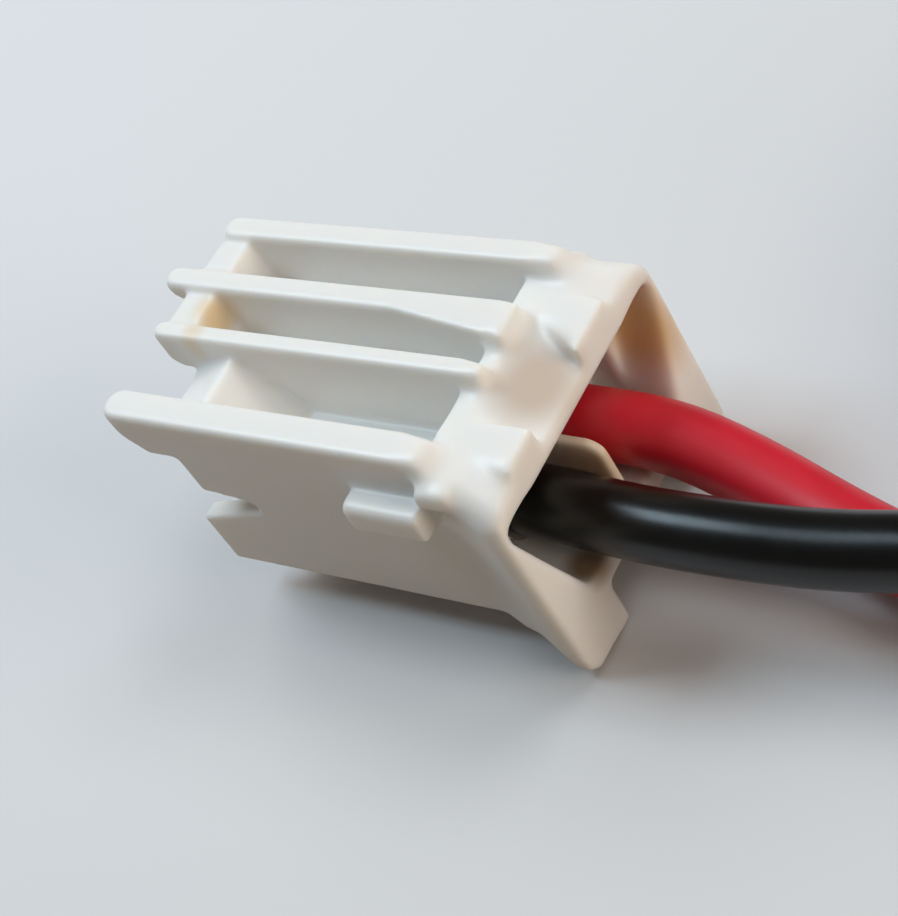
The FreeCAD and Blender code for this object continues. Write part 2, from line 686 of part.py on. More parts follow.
def coil_shape(height):
    """The outer shape of one coil, open where its tinned end lies."""
    centre = Vector(coil_x, coil_y, height)
    half_height = lead_radius - COIL_INSET
    low = coil_inner + COIL_INSET
    high = coil_outer - COIL_INSET
    corners = ((low, -half_height), (high, -half_height), (high, half_height),
               (low, half_height), (low, -half_height))
    section = Part.Face(Part.makePolygon([Vector(x, 0, z) for x, z in corners]))
    ring = section.revolve(Vector(), Vector(0, 0, 1), 360)
    ring_edges = [edge for edge in ring.Edges if edge.Length > coil_outer]
    ring = ring.makeFillet(COIL_ROUND * lead_radius, ring_edges)
    ring.translate(centre)
    start = Vector(COIL_START, COIL_SIDE, height)
    run_in = Part.makeCylinder(lead_radius, COIL_RUN_IN, start, Vector(1, 0, 0))
    width = inner_turn + TIP_ROOM * lead_radius - coil_inner + PAST
    room = Part.makeBox(width, size("tip_length") + 2 * lead_radius,
                        2 * lead_radius + 2 * PAST,
                        Vector(coil_inner - PAST, 0, -lead_radius - PAST))
    room.Placement = Placement(centre, end_turn)
    return ring.fuse(run_in).cut(room).removeSplitter()


coils = []
tips = []
for colour, height in (("red", lower_z), ("black", upper_z)):
    coils.append(own_shape(f"{colour}_lead_coil", coil_shape(height)))
    tip = bind(doc.addObject("Part::Cylinder", f"{colour}_tinned_end"), {
        "Radius": "tip_diameter / 2", "Height": "tip_length"})
    along_turn = Placement(Vector(inner_turn, 0, 0), Rotation(Vector(1, 0, 0), -90))
    tip.Placement = Placement(Vector(coil_x, coil_y, height), end_turn) * along_turn
    tips.append(tip)

# Tie: a strap round both coils, with its head on top

STRAP_GAP = 0.1
HEAD_PLACE = 1.0
loop_low = coil_inner - STRAP_GAP
loop_high = coil_outer + STRAP_GAP
loop_top = upper_z + lead_radius
strap = size("tie_thickness")
half_strap = size("tie_width") / 2
half_head = half_strap + strap
loop = Part.makeBox(loop_high - loop_low + 2 * strap, 2 * half_strap, loop_top + strap,
                    Vector(loop_low - strap, -half_strap, 0))
inside = Part.makeBox(loop_high - loop_low, 2 * half_strap, loop_top - strap,
                      Vector(loop_low, -half_strap, strap))
head = Part.makeBox(size("tie_head"), 2 * half_head, size("tie_head_height"),
                    Vector(loop_low + HEAD_PLACE, -half_head, loop_top))
tie_shape = loop.cut(inside).fuse(head).removeSplitter()
tie = doc.addObject("Part::Feature", "coil_tie")
tie.Shape = tie_shape
tie.Placement = Placement(Vector(coil_x, coil_y, 0),
                          Rotation(Vector(0, 0, 1), size("tie_angle")))

# Check every object, then write each sub-part

doc.recompute()
for thing in doc.Objects:
    if "Invalid" in thing.State or "Error" in thing.State:
        raise RuntimeError(f"{thing.Name} failed: {thing.State}")

sub_parts = [housing] + contacts + strand_ends + leads + coils + tips + [tie]
os.makedirs("parts", exist_ok=True)
for thing in sub_parts:
    thing.Label = thing.Name
    shape = thing.Shape
    if shape.isNull() or not shape.isValid() or len(shape.Solids) != 1:
        raise RuntimeError(f"{thing.Name} is not one valid solid")
    shape.exportStep(f"parts/{thing.Name}.step")
    box = shape.optimalBoundingBox(False)
    print(thing.Name, round(shape.Volume, 3), "X", round(box.XMin, 2), round(box.XMax, 2),
          "Y", round(box.YMin, 2), round(box.YMax, 2), "Z", round(box.ZMin, 2),
          round(box.ZMax, 2))
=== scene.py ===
# %% [markdown]
# # Wire harness connector
#
# A small white crimp housing with ribs and latching fingers, and the red and
# the black lead that leave its flared rear hood. Everything is in the frame of
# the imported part, in metres: +X points from the mating end to the leads, +Z is
# the ribbed side, and Z = 0 is the surface the part stands on.
#
# The order is: helpers, camera, leads, bare ends, tie, housing, contacts, what
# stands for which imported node, and last the floor and the light. Values in
# capitals are in millimetres, as they are in the part's own sheet of sizes.

# %%
import math

import bpy
import numpy as np
from mathutils import Matrix


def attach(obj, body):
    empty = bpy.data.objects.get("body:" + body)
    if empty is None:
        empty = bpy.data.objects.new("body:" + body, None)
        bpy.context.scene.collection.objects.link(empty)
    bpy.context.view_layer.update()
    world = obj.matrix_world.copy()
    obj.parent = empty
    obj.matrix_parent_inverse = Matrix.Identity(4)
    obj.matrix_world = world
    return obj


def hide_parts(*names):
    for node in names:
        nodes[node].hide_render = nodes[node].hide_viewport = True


MM = 0.001
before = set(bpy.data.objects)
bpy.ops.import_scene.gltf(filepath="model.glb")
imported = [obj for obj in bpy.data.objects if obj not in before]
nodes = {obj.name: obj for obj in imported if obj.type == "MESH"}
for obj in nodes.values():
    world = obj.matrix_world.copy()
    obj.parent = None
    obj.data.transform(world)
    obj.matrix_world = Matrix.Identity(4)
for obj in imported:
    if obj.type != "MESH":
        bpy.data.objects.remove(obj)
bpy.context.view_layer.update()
print("nodes:", sorted(nodes))

# %% [markdown]
# ## Helpers
#
# Surfaces are grids of points made with numpy. Materials are node graphs in the
# object's own coordinates, which are the frame's, because every piece has its
# origin there. Image textures would need a flat map of each piece, and noise in
# object coordinates needs none.


# %%
def mesh_object(name, points, faces, smooth=True):
    """A mesh object from an (n, 3) array in metres and a list of faces."""
    mesh = bpy.data.meshes.new(name)
    mesh.from_pydata(points.tolist(), [], faces)
    mesh.polygons.foreach_set("use_smooth", [smooth] * len(mesh.polygons))
    mesh.update()
    thing = bpy.data.objects.new(name, mesh)
    bpy.context.scene.collection.objects.link(thing)
    return thing


def grid_faces(rows, columns, close_rows=False, close_columns=False):
    """Quads of a grid of points, row by row. A closed way joins its last to its first."""
    row = np.arange(rows if close_rows else rows - 1)
    column = np.arange(columns if close_columns else columns - 1)
    r, c = np.meshgrid(row, column, indexing="ij")
    r2, c2 = (r + 1) % rows, (c + 1) % columns
    quads = np.stack([r * columns + c, r * columns + c2, r2 * columns + c2, r2 * columns + c], -1)
    return quads.reshape(-1, 4).tolist()


def material(name):
    """A new material: its nodes, its links and its Principled shader."""
    made = bpy.data.materials.new(name)
    made.use_nodes = True
    tree = made.node_tree
    return made, tree, tree.nodes["Principled BSDF"]


def add(tree, kind, **values):
    """A shader node with its inputs set by name."""
    node = tree.nodes.new(kind)
    for key, value in values.items():
        if key in node.inputs:
            node.inputs[key].default_value = value
        else:
            setattr(node, key, value)
    return node


def object_noise(tree, scale, detail=3.0, roughness=0.5):
    """Noise in object coordinates. The scale is in features per metre."""
    place = tree.nodes.new("ShaderNodeTexCoord")
    noise = add(tree, "ShaderNodeTexNoise", Scale=scale, Detail=detail, Roughness=roughness)
    tree.links.new(place.outputs["Object"], noise.inputs["Vector"])
    return noise


def bump(tree, shader, height, strength, distance):
    """Small relief on the shader's normal."""
    node = add(tree, "ShaderNodeBump", Strength=strength, Distance=distance)
    tree.links.new(height, node.inputs["Height"])
    tree.links.new(node.outputs["Normal"], shader.inputs["Normal"])


# %% [markdown]
# ## Camera
#
# The photo was taken from above the near rear corner, with the housing turned
# in the picture. A camera could be placed by eye, but then each wrong edge could be
# the shape's fault or the camera's. So the place, the turn and the focal length come
# from a fit of the housing's edges to a pinhole camera, and the shape was measured
# through it. The picture is 898 by 916 pixels.

# %%
CAMERA_PLACE = (35.52 * MM, -24.44 * MM, 41.13 * MM)
CAMERA_RIGHT = (0.7882, 0.4509, -0.4189)
CAMERA_UP = (-0.1250, 0.7838, 0.6083)
CAMERA_BACK = (0.6026, -0.4271, 0.6741)
FOCAL_PIXELS = 2200
PICTURE_WIDTH = 898
SENSOR_WIDTH = 36.0

scene = bpy.context.scene
lens = bpy.data.cameras.new("camera")
lens.sensor_fit = "HORIZONTAL"
lens.sensor_width = SENSOR_WIDTH
lens.lens = FOCAL_PIXELS / PICTURE_WIDTH * SENSOR_WIDTH
lens.clip_start = 0.001
lens.clip_end = 10.0
camera = bpy.data.objects.new("camera", lens)
scene.collection.objects.link(camera)
camera.matrix_world = Matrix(
    [list(row) for row in zip(CAMERA_RIGHT, CAMERA_UP, CAMERA_BACK, CAMERA_PLACE)]
    + [[0, 0, 0, 1]])
scene.camera = camera
print("lens:", round(lens.lens, 1), "mm")

# %% [markdown]
# ## Leads
#
# Each lead is one insulated cord from its jacket crimp inside the housing to its
# bare end. It could be a mesh swept along a path, but a curve with a round bevel
# stays even in thickness through every bend and can be bent again later. Its
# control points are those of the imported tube, and then it winds inwards in the
# coil that puts the unseen length away. The red lead lies on the floor and the
# black one on top of it.

# %%
JACKET = 1.85
LEAD_DIAMETER = JACKET * MM
TIE_THICKNESS = 0.3
LAYER_GAP = 0.05
LOWER = TIE_THICKNESS + JACKET / 2
UPPER = LOWER + JACKET + LAYER_GAP
LEAD_HEIGHT = 3.3
LEAD_START = 3.5
LEAD_SIDE = {"red": 1.25, "black": -1.25}
TURN_OUTER = 11.2
TURN_PITCH = 1.9
TURN_COUNT = 1.9
COIL_CENTRE = (25.7, 10.6)
ROUTES = {
    "red": [
        (LEAD_START, LEAD_SIDE["red"], LEAD_HEIGHT),
        (5.4, LEAD_SIDE["red"], LEAD_HEIGHT),
        (7.5, 1.41, 2.94),
        (9.6, 1.17, 2.12),
        (11.8, 0.6, 1.45),
        (13.9, 0.02, LOWER),
        (15.5, -0.35, LOWER),
        (17.1, -0.6, LOWER),
        (18.7, -0.6, LOWER),
    ],
    "black": [
        (LEAD_START, LEAD_SIDE["black"], LEAD_HEIGHT),
        (5.5, LEAD_SIDE["black"], LEAD_HEIGHT),
        (7.5, -1.45, LEAD_HEIGHT),
        (10.2, -1.46, LEAD_HEIGHT),
        (12.7, -1.23, UPPER),
        (14.9, -0.86, UPPER),
        (16.9, -0.6, UPPER),
        (18.7, -0.6, UPPER),
    ],
}
LEVELS = (("red", LOWER), ("black", UPPER))


def coil_points(height, steps=16):
    """Control points of the coil: the radius shrinks by one pitch per turn. They lie a little
    outside the turn, by one over the cosine of half a step, so that the spline keeps to it."""
    angles = np.arange(0.5, TURN_COUNT * steps - 0.4) * 2 * math.pi / steps
    angles = np.append(angles, TURN_COUNT * 2 * math.pi)
    radius = TURN_OUTER - TURN_PITCH * angles / (2 * math.pi)
    radius[:-1] /= math.cos(math.pi / steps)
    x = COIL_CENTRE[0] + radius * np.sin(angles)
    y = COIL_CENTRE[1] - radius * np.cos(angles)
    return [(float(a), float(b), height) for a, b in zip(x, y)]


def lead_curve(name, points):
    """A round NURBS cord through control points in millimetres."""
    curve = bpy.data.curves.new(name, "CURVE")
    curve.dimensions = "3D"
    curve.bevel_depth = LEAD_DIAMETER / 2
    curve.bevel_resolution = 12
    curve.resolution_u = 12
    curve.use_fill_caps = True
    spline = curve.splines.new("NURBS")
    spline.points.add(len(points) - 1)
    flat = np.array([(x * MM, y * MM, z * MM, 1.0) for x, y, z in points]).ravel()
    spline.points.foreach_set("co", flat)
    spline.order_u = 3
    spline.use_endpoint_u = True
    thing = bpy.data.objects.new(name, curve)
    scene.collection.objects.link(thing)
    return thing


def curve_length(thing):
    """Length of a curve's own line, in metres."""
    bare = thing.data.copy()
    bare.bevel_depth = 0
    probe = bpy.data.objects.new("probe", bare)
    scene.collection.objects.link(probe)
    line = probe.evaluated_get(bpy.context.evaluated_depsgraph_get()).to_mesh()
    points = np.empty(len(line.vertices) * 3)
    line.vertices.foreach_get("co", points)
    bpy.data.objects.remove(probe)
    steps = np.diff(points.reshape(-1, 3), axis=0)
    return float(np.sqrt((steps ** 2).sum(1)).sum())


lead_objects = {}
for colour, height in LEVELS:
    cord = lead_curve(f"{colour}_cord", ROUTES[colour] + coil_points(height))
    lead_objects[colour] = cord
    print(colour, "lead:", round(curve_length(cord) / MM, 1), "mm long")

# %% [markdown]
# The insulation is soft PVC. It is smooth and a little glossy, with faint dull
# patches where it was handled. One even gloss would look like glass, so the
# roughness and the colour follow a slow noise. The red lead in the photo has a
# wide pale sheen and lets some light in. The black one has a narrow highlight and
# lets none in, so it is smoother.


# %%
def pvc(name, colour, deep, roughness, specular, scatter):
    """Glossy soft PVC with faint dull patches. The roughness runs from a little under
    the given one to a little over it, as the noise does."""
    made, tree, shader = material(name)
    noise = object_noise(tree, 900.0, detail=4.0)
    mix = add(tree, "ShaderNodeMix", data_type="RGBA")
    tree.links.new(noise.outputs["Fac"], mix.inputs[0])
    mix.inputs[6].default_value = colour
    mix.inputs[7].default_value = deep
    tree.links.new(mix.outputs[2], shader.inputs["Base Color"])
    gloss = add(tree, "ShaderNodeMapRange")
    gloss.inputs["To Min"].default_value = roughness - 0.06
    gloss.inputs["To Max"].default_value = roughness + 0.1
    tree.links.new(noise.outputs["Fac"], gloss.inputs["Value"])
    tree.links.new(gloss.outputs["Result"], shader.inputs["Roughness"])
    shader.inputs["Subsurface Weight"].default_value = scatter
    shader.inputs["Subsurface Radius"].default_value = (0.4 * MM, 0.05 * MM, 0.05 * MM)
    shader.inputs["Subsurface Scale"].default_value = 1.0
    shader.inputs["IOR"].default_value = 1.5
    shader.inputs["Specular IOR Level"].default_value = specular
    fine = object_noise(tree, 3500.0, detail=2.0)
    bump(tree, shader, fine.outputs["Fac"], 0.12, 0.02 * MM)
    return made


red_pvc = pvc("red PVC", (0.66, 0.012, 0.035, 1), (0.52, 0.004, 0.014, 1), 0.44, 0.9, 0.15)
black_pvc = pvc("black PVC", (0.001, 0.001, 0.001, 1), (0.002, 0.002, 0.002, 1), 0.29, 0.42, 0.0)
lead_objects["red"].data.materials.append(red_pvc)
lead_objects["black"].data.materials.append(black_pvc)

# %% [markdown]
# ## Bare ends
#
# The far end of each lead is stripped and dipped in tin: the strands still show
# as a shallow twist, and the tip is rounded by the tin. Single strands could be
# modelled, but under the tin they are one solid bar, so it is one grid of rings
# whose radius carries the twist.

# %%
TIP_LENGTH = 2.4
TIP_RADIUS = 0.5
TIP_SUNK = 0.15
STRAND_RELIEF = 0.035
STRAND_WAVES = 3.5
STRAND_TWIST = 2.2
TIP_ROUND_FROM = 0.86


def tinned_tip(name, height):
    """A round bar along the end of the last turn. Its radius rises and falls round the bar
    like the size of a cosine, turned along the bar, and closes at the tip like a ball."""
    rings = 60
    around = 84
    along = np.linspace(0, 1, rings)
    turn = np.linspace(0, 2 * math.pi, around, endpoint=False)
    a, t = np.meshgrid(along, turn, indexing="ij")
    strands = STRAND_RELIEF * np.abs(np.cos(STRAND_WAVES * (t + STRAND_TWIST * a)))
    past = np.clip((a - TIP_ROUND_FROM) / (1 - TIP_ROUND_FROM), 0, 1)
    end = np.sqrt(1 - past ** 2)
    radius = (TIP_RADIUS - STRAND_RELIEF + strands) * np.maximum(end, 0.02)
    start = TURN_COUNT * 2 * math.pi
    inner = TURN_OUTER - TURN_PITCH * TURN_COUNT
    heading = np.array([math.cos(start), math.sin(start), 0])
    outward = np.array([math.sin(start), -math.cos(start), 0])
    base = np.array([COIL_CENTRE[0], COIL_CENTRE[1], height]) + inner * outward
    points = (base + (a * TIP_LENGTH - TIP_SUNK * (1 - a))[..., None] * heading
              + (radius * np.cos(t))[..., None] * outward
              + (radius * np.sin(t))[..., None] * np.array([0, 0, 1]))
    faces = grid_faces(rings, around, close_columns=True)
    faces.append(list(range(around))[::-1])
    faces.append(list(range((rings - 1) * around, rings * around)))
    return mesh_object(name, points.reshape(-1, 3) * MM, faces)


tinned, tree, shader = material("tinned copper")
shader.inputs["Base Color"].default_value = (0.62, 0.58, 0.53, 1)
shader.inputs["Metallic"].default_value = 1.0
shader.inputs["Roughness"].default_value = 0.32
tips = {}
for colour, height in LEVELS:
    tips[colour] = tinned_tip(f"{colour}_bare_end", height)
    tips[colour].data.materials.append(tinned)

# %% [markdown]
# ## Tie
#
# One nylon strap holds both coils. It hugs their section, passes through its head
# and is cut off short. A strap could be bent from a flat strip with a modifier.
# Here its outline is swept round an upright rectangle with round corners, which
# keeps its flat inside on the leads.

# %%
TIE_ANGLE = math.radians(25)
TIE_WIDTH = 2.2
TIE_CORNER = 0.75
TIE_EDGE = 0.1
TIE_SLACK = 0.1
HEAD_START = 0.9
HEAD_LENGTH = 2.6
HEAD_WIDTH = 2.8
HEAD_HEIGHT = 1.6
HEAD_EDGE = 0.25
coil_in = TURN_OUTER - TURN_PITCH * TURN_COUNT - JACKET / 2
coil_out = TURN_OUTER + JACKET / 2
coil_top = UPPER + JACKET / 2


def rounded_loop(low, high, bottom, top, radius, steps=12):
    """Points and outward normals round an upright rectangle with round corners."""
    centres = [(high - radius, bottom + radius, -90), (high - radius, top - radius, 0),
               (low + radius, top - radius, 90), (low + radius, bottom + radius, 180)]
    places, normals = [], []
    for x, z, first in centres:
        angle = np.radians(first + np.linspace(0, 90, steps))
        normal = np.stack([np.cos(angle), np.sin(angle)], -1)
        places.append(np.array([x, z]) + radius * normal)
        normals.append(normal)
    return np.concatenate(places), np.concatenate(normals)


def strap_profile(width, thickness, edge, steps=5):
    """Closed outline of the strap: (across, outwards), with round edges."""
    half = width / 2 - edge
    out = []
    for x, z, first in ((half, thickness - edge, 0), (-half, thickness - edge, 90),
                        (-half, edge, 180), (half, edge, 270)):
        angle = np.radians(first + np.linspace(0, 90, steps))
        out.append(np.stack([x + edge * np.cos(angle), z + edge * np.sin(angle)], -1))
    return np.concatenate(out)


def turned(local):
    """Points (out from the coil's middle, across, up) in the frame, in metres."""
    cos, sin = math.cos(TIE_ANGLE), math.sin(TIE_ANGLE)
    out, across = local[..., 0], local[..., 1]
    x = COIL_CENTRE[0] + out * cos - across * sin
    y = COIL_CENTRE[1] + out * sin + across * cos
    return np.stack([x, y, local[..., 2]], -1) * MM


loop, outward = rounded_loop(coil_in - TIE_SLACK, coil_out + TIE_SLACK,
                             TIE_THICKNESS, coil_top, TIE_CORNER)
outline = strap_profile(TIE_WIDTH, TIE_THICKNESS, TIE_EDGE)
strap = np.stack([
    loop[:, None, 0] + outward[:, None, 0] * outline[None, :, 1],
    np.repeat(outline[None, :, 0], len(loop), 0),
    loop[:, None, 1] + outward[:, None, 1] * outline[None, :, 1],
], -1)
strap_faces = grid_faces(len(loop), len(outline), close_rows=True, close_columns=True)
tie_strap = mesh_object("tie_strap", turned(strap.reshape(-1, 3)), strap_faces)


def rounded_box(name, low, high, edge, cuts=6):
    """A box with round edges, from a sphere grid spread out to the box's corners."""
    ring = np.radians(np.concatenate([np.linspace(a, a + 90, cuts) for a in (0, 90, 180, 270)]))
    rise = np.radians(np.concatenate([np.linspace(-90, 0, cuts), np.linspace(0, 90, cuts)]))
    up, way = np.meshgrid(rise, ring, indexing="ij")
    ball = np.stack([np.cos(up) * np.cos(way), np.cos(up) * np.sin(way), np.sin(up)], -1)
    quarter = np.repeat(np.array([[1, 1], [-1, 1], [-1, -1], [1, -1]]), cuts, 0)
    corner = np.concatenate([
        np.repeat(quarter[None], 2 * cuts, 0),
        np.repeat(np.repeat([-1, 1], cuts)[:, None, None], len(ring), 1)], -1)
    middle = (np.array(low) + np.array(high)) / 2
    half = (np.array(high) - np.array(low)) / 2 - edge
    points = middle + corner * half + edge * ball
    rows, columns = len(rise), len(ring)
    faces = grid_faces(rows, columns, close_columns=True)
    faces.append(list(range(columns))[::-1])
    faces.append(list(range((rows - 1) * columns, rows * columns)))
    return mesh_object(name, turned(points.reshape(-1, 3)), faces)


head_low = (coil_in + HEAD_START, -HEAD_WIDTH / 2, coil_top)
head_high = (head_low[0] + HEAD_LENGTH, HEAD_WIDTH / 2, coil_top + HEAD_HEIGHT)
tie_head = rounded_box("tie_head", head_low, head_high, HEAD_EDGE)
nylon_tie, tree, shader = material("tie nylon")
shader.inputs["Base Color"].default_value = (0.62, 0.6, 0.54, 1)
shader.inputs["Roughness"].default_value = 0.45
shader.inputs["Subsurface Weight"].default_value = 0.3
shader.inputs["Subsurface Radius"].default_value = (0.3 * MM, 0.25 * MM, 0.2 * MM)
shader.inputs["Subsurface Scale"].default_value = 1.0
for piece in (tie_strap, tie_head):
    piece.data.materials.append(nylon_tie)
print("tie: strap of", len(tie_strap.data.polygons), "faces, head of",
      len(tie_head.data.polygons))

# %% [markdown]
# ## Housing
#
# The housing is one injection-moulded piece of natural nylon. Its walls are thin
# and every edge is soft. It could be bevelled edge by edge, but the many ribs meet
# in odd corners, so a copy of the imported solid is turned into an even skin
# and the skin is relaxed: that rounds each edge as moulding does.
#
# Relaxing alone also draws narrow ribs in. So most rounds push the points back
# out by the same share. After them come the places that the photo shows as softer
# than the rest: the sill and the front plates, the rear ends of ridges and ribs,
# the hood as a whole, and its shoulders and feet, whose outline is round from the
# rear while their rear edge is sharp. There the points move only across the part.

# %%
SKIN = 0.07
WELD = 0.0005
KEPT_SHARE = 0.55
STEP_SHARE = 0.6
EVEN_ROUNDS = 20
EVEN_BACK = 1.03
SOFT_ROUNDS = 5
SPOT_ROUNDS = 40
HOOD_ROUNDS = 8
CORNER_ROUNDS = 60
HOOD_FRONT = 4.9
CORNER_SIDE = 2.4
FADE = 0.8
SPOT_CORE = 0.4


def merged_copy(name, source):
    """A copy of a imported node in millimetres, with its split points merged."""
    mesh = source.data.copy()
    mesh.name = name
    count = len(mesh.vertices)
    points = np.empty(count * 3, np.float32)
    mesh.vertices.foreach_get("co", points)
    world = np.array(source.matrix_world)
    points = points.reshape(-1, 3) @ world[:3, :3].T + world[:3, 3]
    mesh.vertices.foreach_set("co", (points / MM).astype(np.float32).ravel())
    thing = bpy.data.objects.new(name, mesh)
    scene.collection.objects.link(thing)
    weld = thing.modifiers.new("weld", "WELD")
    weld.merge_threshold = WELD
    return thing


def applied(thing):
    """The object's mesh with its modifiers applied."""
    shape = thing.evaluated_get(bpy.context.evaluated_depsgraph_get())
    mesh = bpy.data.meshes.new_from_object(shape)
    thing.modifiers.clear()
    old = thing.data
    thing.data = mesh
    bpy.data.meshes.remove(old)
    return mesh


def relax(mesh, rounds, back=0.0, weights=None, axes=(1, 1, 1)):
    """Moves each point towards the mean of its neighbours, and then away from it by the
    share `back`. Without the way back every edge gets round and draws in; with it narrow
    ribs keep their width. The move along each axis is multiplied by `axes`."""
    count = len(mesh.vertices)
    points = np.empty(count * 3)
    mesh.vertices.foreach_get("co", points)
    points = points.reshape(-1, 3)
    edges = np.empty(len(mesh.edges) * 2, np.int64)
    mesh.edges.foreach_get("vertices", edges)
    a, b = edges.reshape(-1, 2).T
    degree = np.bincount(a, minlength=count) + np.bincount(b, minlength=count)
    share = np.ones(count) if weights is None else weights(points)
    for _ in range(rounds):
        for factor in (STEP_SHARE, -STEP_SHARE * back):
            total = np.stack([
                np.bincount(a, points[b, k], count) + np.bincount(b, points[a, k], count)
                for k in range(3)], -1)
            pull = (factor * share)[:, None] * np.array(axes)
            points = points + pull * (total / degree[:, None] - points)
    mesh.vertices.foreach_set("co", points.ravel())
    mesh.update()


shell = merged_copy("housing_skin", nodes["housing"])
skin = shell.modifiers.new("skin", "REMESH")
skin.mode = "VOXEL"
skin.voxel_size = SKIN
applied(shell)
print("skin points:", len(shell.data.vertices))
relax(shell.data, EVEN_ROUNDS, back=EVEN_BACK)
relax(shell.data, SOFT_ROUNDS)


def smooth_step(values):
    """0 up to 0 and 1 from 1 on, with a soft rise between."""
    t = np.clip(values, 0, 1)
    return t * t * (3 - 2 * t)


def hood_share(points):
    """1 on the outside of the hood, 0 before it."""
    return smooth_step((points[:, 0] - HOOD_FRONT) / FADE)


def corner_share(points):
    """1 at the hood's shoulders and feet, 0 in its middle and before it."""
    return hood_share(points) * smooth_step((np.abs(points[:, 1]) - CORNER_SIDE) / FADE)


def spot_share(points):
    """1 in the middle of each soft spot, 0 outside its ellipsoid."""
    share = np.zeros(len(points))
    for centre, radii in SOFT_SPOTS:
        reach = np.sqrt((((points - centre) / radii) ** 2).sum(1))
        share = np.maximum(share, 1 - smooth_step((reach - SPOT_CORE) / (1 - SPOT_CORE)))
    return share


SOFT_SPOTS = [
    ((-4.1, -1.7, 6.2), (2.0, 1.1, 1.3)),
    ((-4.3, 2.2, 6.6), (1.2, 1.1, 0.9)),
    ((-4.3, 0.4, 6.6), (1.2, 0.9, 0.9)),
    ((4.6, -3.1, 7.2), (1.0, 1.1, 1.2)),
    ((5.1, 3.1, 7.2), (0.9, 1.1, 1.0)),
    ((4.9, 0.4, 7.1), (0.9, 2.0, 0.9)),
    ((4.95, -1.4, 6.7), (0.9, 1.3, 0.9)),
    ((5.75, 1.2, 6.8), (0.9, 0.8, 0.8)),
]
relax(shell.data, SPOT_ROUNDS, weights=spot_share)
relax(shell.data, HOOD_ROUNDS, weights=hood_share)
relax(shell.data, CORNER_ROUNDS, weights=corner_share, axes=(0, 1, 1))
thin = shell.modifiers.new("thin", "DECIMATE")
thin.ratio = KEPT_SHARE
applied(shell)
count = len(shell.data.vertices)
points = np.empty(count * 3)
shell.data.vertices.foreach_get("co", points)
shell.data.vertices.foreach_set("co", points * MM)
shell.data.polygons.foreach_set("use_smooth", [True] * len(shell.data.polygons))
shell.data.update()
print("housing faces:", len(shell.data.polygons))

# %% [markdown]
# The nylon is unfilled: white and a little translucent, so light that has passed
# through a wall comes out warm. Subsurface light alone doesn't give that warmth at
# this size, so shader nodes paint light and shade into the colour: a painted amber
# glow on the hood's inner walls and partition, a painted ochre glow in the deep
# recess at the front of the middle channel, painted beige shade in the hood's
# scoop, which faces away from the light, and a painted brown shadow of the black
# lead in the corner of the opening under it.


# %%
def ball_mask(tree, centre, radii):
    """1 at the centre of an ellipsoid, 0 at its edge. Both are in millimetres."""
    place = tree.nodes.new("ShaderNodeTexCoord")
    move = add(tree, "ShaderNodeMapping", vector_type="TEXTURE")
    move.inputs["Location"].default_value = [v * MM for v in centre]
    move.inputs["Scale"].default_value = [v * MM for v in radii]
    tree.links.new(place.outputs["Object"], move.inputs["Vector"])
    length = add(tree, "ShaderNodeVectorMath", operation="LENGTH")
    tree.links.new(move.outputs["Vector"], length.inputs[0])
    fade = add(tree, "ShaderNodeMapRange", interpolation_type="SMOOTHSTEP")
    fade.inputs["From Min"].default_value = 0.25
    fade.inputs["From Max"].default_value = 1.0
    fade.inputs["To Min"].default_value = 1.0
    fade.inputs["To Max"].default_value = 0.0
    tree.links.new(length.outputs["Value"], fade.inputs["Value"])
    return fade.outputs["Result"]


# Painted glow: warm light in the deep shaded recess at the front of the middle channel.
OCHRE_PAINTED_GLOW = (0.74, 0.57, 0.34, 1)
# Painted glow: warm light through the hood's inner walls and its partition, where they lie in
# shade.
AMBER_PAINTED_GLOW = (0.62, 0.40, 0.16, 1)
# Painted shadow: the black lead's shadow in the corner of the opening under it.
BROWN_PAINTED_SHADOW = (0.26, 0.16, 0.07, 1)
# Painted shade: the hood's scoop faces away from the light.
BEIGE_PAINTED_SHADE = (0.54, 0.43, 0.34, 1)
# Each entry paints light or shade into the nylon: an ellipsoid's centre and radii in millimetres,
# how far the colour goes over, and the painted colour.
PAINTED_GLOWS_AND_SHADE = [
    ((-4.75, 0.45, 6.8), (0.8, 0.9, 0.9), 0.95, OCHRE_PAINTED_GLOW),
    ((-4.45, -0.5, 7.1), (0.6, 0.6, 0.8), 0.7, OCHRE_PAINTED_GLOW),
    ((6.0, 3.5, 4.4), (1.6, 1.0, 2.2), 0.9, AMBER_PAINTED_GLOW),
    ((6.0, 0.0, 3.4), (1.6, 0.7, 1.6), 0.6, AMBER_PAINTED_GLOW),
    ((6.3, -2.15, 2.1), (0.9, 0.8, 0.7), 0.9, BROWN_PAINTED_SHADOW),
    ((5.8, -0.1, 6.5), (1.5, 1.8, 1.2), 0.85, BEIGE_PAINTED_SHADE),
]

nylon, tree, shader = material("natural nylon")
base = (0.80, 0.79, 0.765, 1)
colour = None
